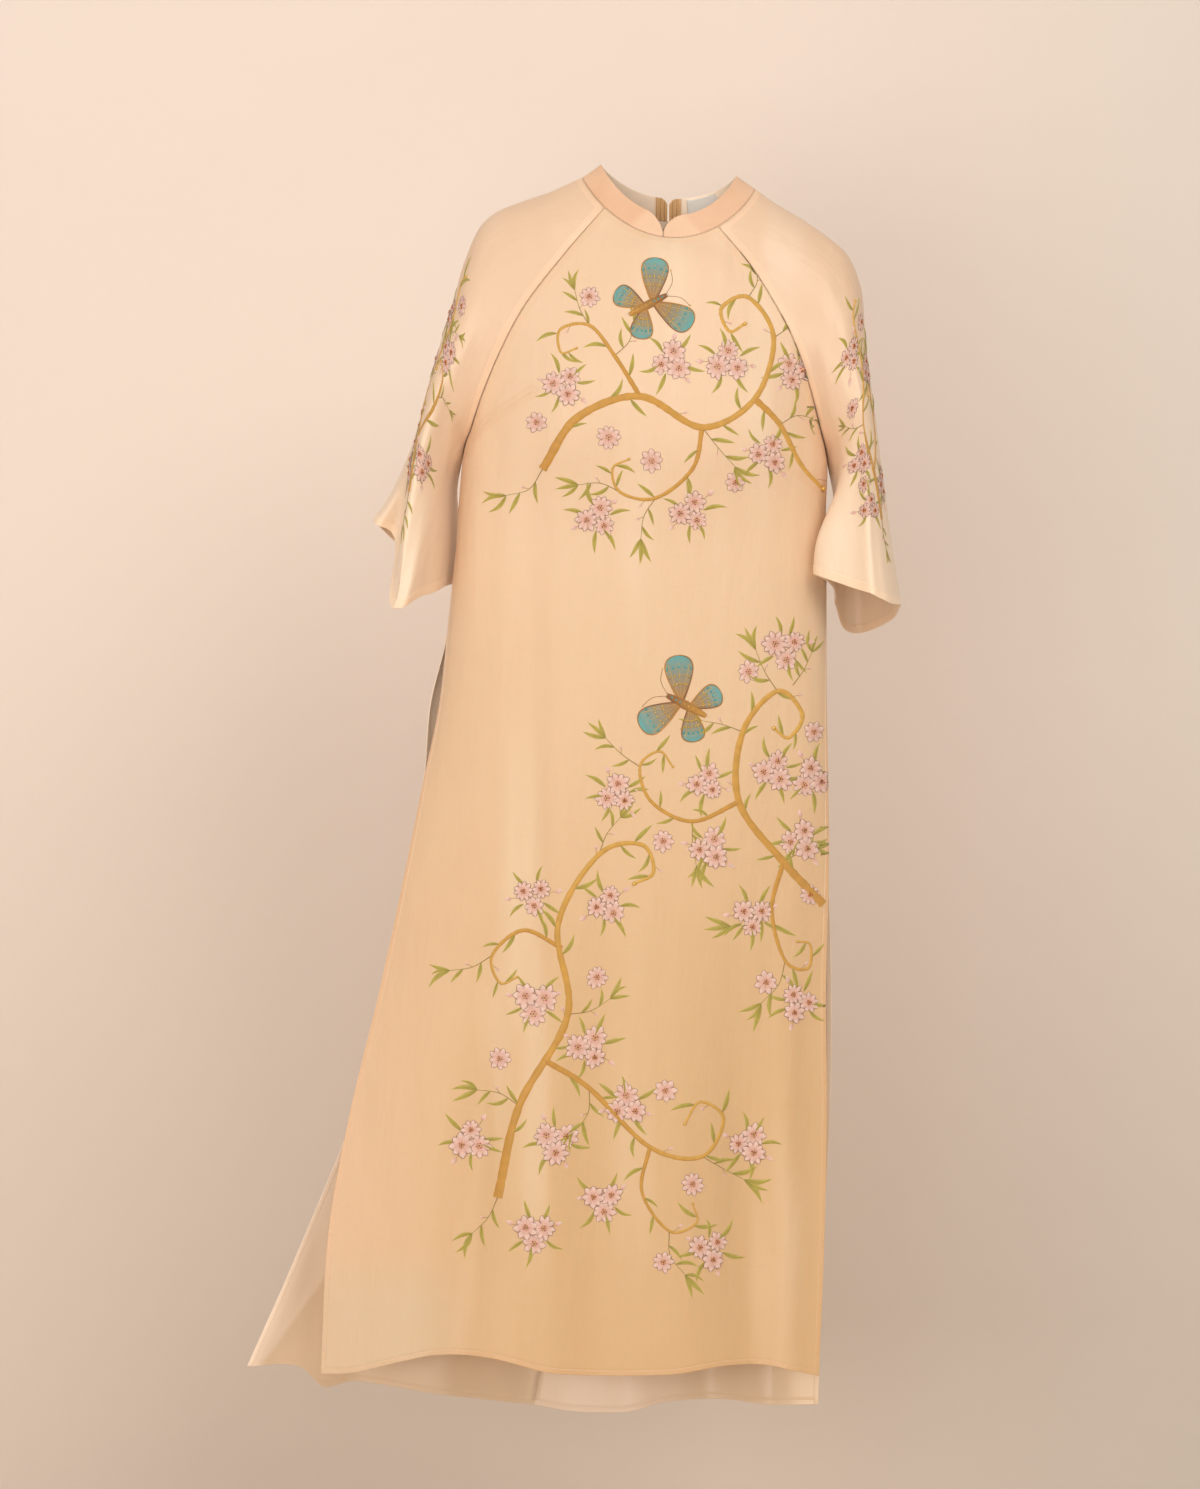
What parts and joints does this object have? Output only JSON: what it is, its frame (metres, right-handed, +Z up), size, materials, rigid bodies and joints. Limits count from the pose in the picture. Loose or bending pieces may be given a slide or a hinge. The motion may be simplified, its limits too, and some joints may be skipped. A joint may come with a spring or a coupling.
{
  "type": "ao dai tunic",
  "caption": "Ao dai: long silk tunic with raglan sleeves, low stand collar and side slits, filled out and held at the neck base.",
  "frame": {"origin": "middle of the neck base, where the shoulders carry the garment", "axes": "+Z up, -Y out of the front, +X to the right of someone looking at the front"},
  "size_m": [0.679, 0.1904, 1.3044],
  "materials": {
    "silk": "soft satin under a sheer overlay",
    "sleeve_silk": "sheer satin",
    "collar_silk": "satin, interfaced",
    "label": "woven, plain",
    "zip_tape": "woven tape",
    "zip_metal": "painted to match, slight shine"
  },
  "bodies": {
    "garment": {"front_panel": "silk", "back_left": "silk", "back_left_skirt": "silk", "back_right": "silk", "back_right_skirt": "silk", "sleeve_left": "sleeve_silk", "sleeve_right": "sleeve_silk", "collar_left": "collar_silk", "collar_right": "collar_silk", "neck_label": "label", "zip_tape_left": "zip_tape", "zip_tape_right": "zip_tape", "zip_slider": "zip_metal"},
    "zip_tab": {"zip_pull": "zip_metal"}
  },
  "joints": [
    {"name": "zip_pull_hinge", "type": "hinge", "parent": "garment", "child": "zip_tab", "pos_m": [-0.01143, 0.05364, -0.02548], "axis": [1, 0, 0], "range_deg": [0, 150]}
  ]
}
